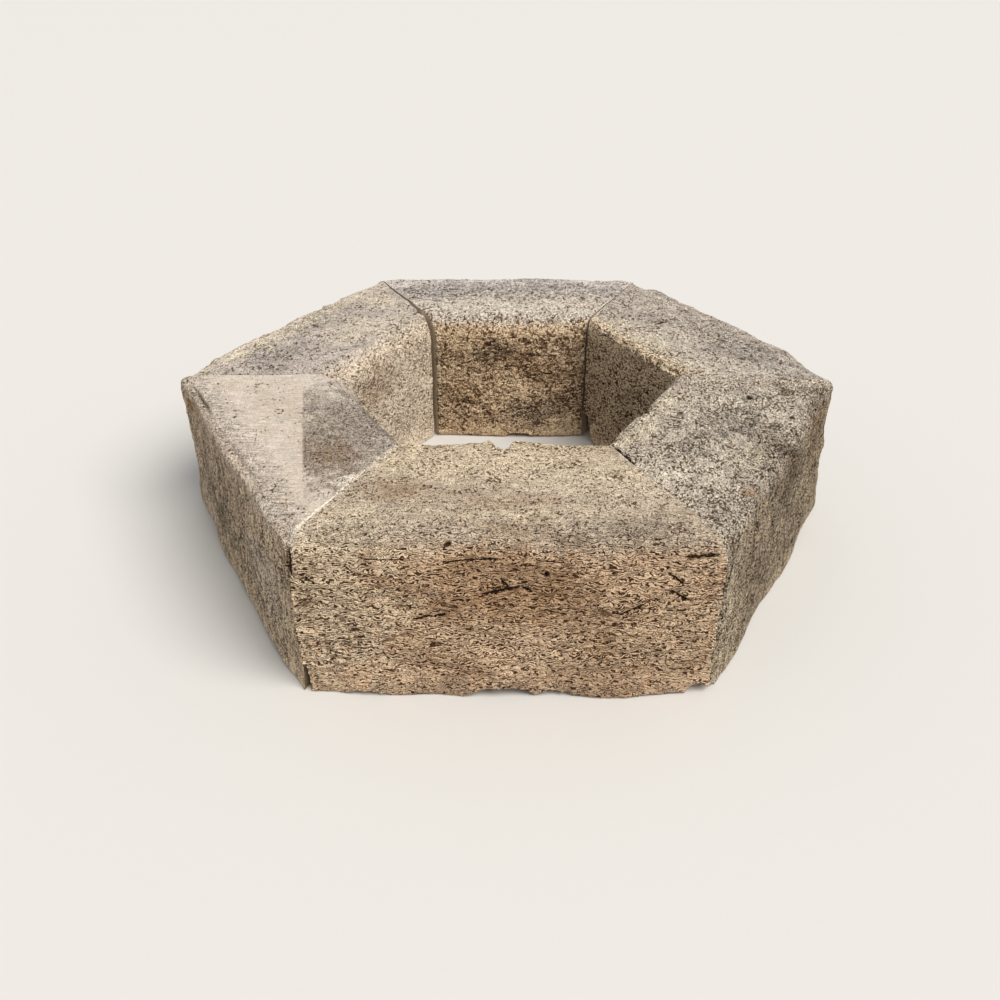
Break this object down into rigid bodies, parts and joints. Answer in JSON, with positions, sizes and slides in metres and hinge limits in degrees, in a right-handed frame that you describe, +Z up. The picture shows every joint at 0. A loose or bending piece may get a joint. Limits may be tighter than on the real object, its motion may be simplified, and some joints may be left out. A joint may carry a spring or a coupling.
{
  "type": "hexagonal limestone block surround",
  "caption": "Low hexagonal surround of mitred, weathered limestone blocks that stand in a closed ring round an open middle, as a planter edge, fire ring or well kerb.",
  "frame": {"origin": "middle of the ring on the ground it stands on", "axes": "+Z up, the front block faces -Y, and +X is to the right of someone who looks at the front block"},
  "size_m": [1.7085, 1.5183, 0.3977],
  "materials": {
    "limestone_tan": "rough, pitted and tooled, warm tan with grey lichen on the top arris",
    "limestone_pitted_grey": "coarsely pitted, grey cream, weathered",
    "limestone_shaded_grey": "coarsely pitted, grey beige, dark brown on the hole's face",
    "limestone_gold": "very rough and pitted, gold brown on the hole's face, grey top",
    "limestone_beige": "pitted, grey beige top, cream on the hole's face",
    "limestone_cream": "rubbed smooth on top, cream with a grey stain, streaked outer face"
  },
  "bodies": {
    "root": {"front_block": "limestone_tan", "right_front_block": "limestone_pitted_grey", "right_back_block": "limestone_shaded_grey", "back_block": "limestone_gold", "left_back_block": "limestone_beige", "left_front_block": "limestone_cream"}
  },
  "joints": []
}
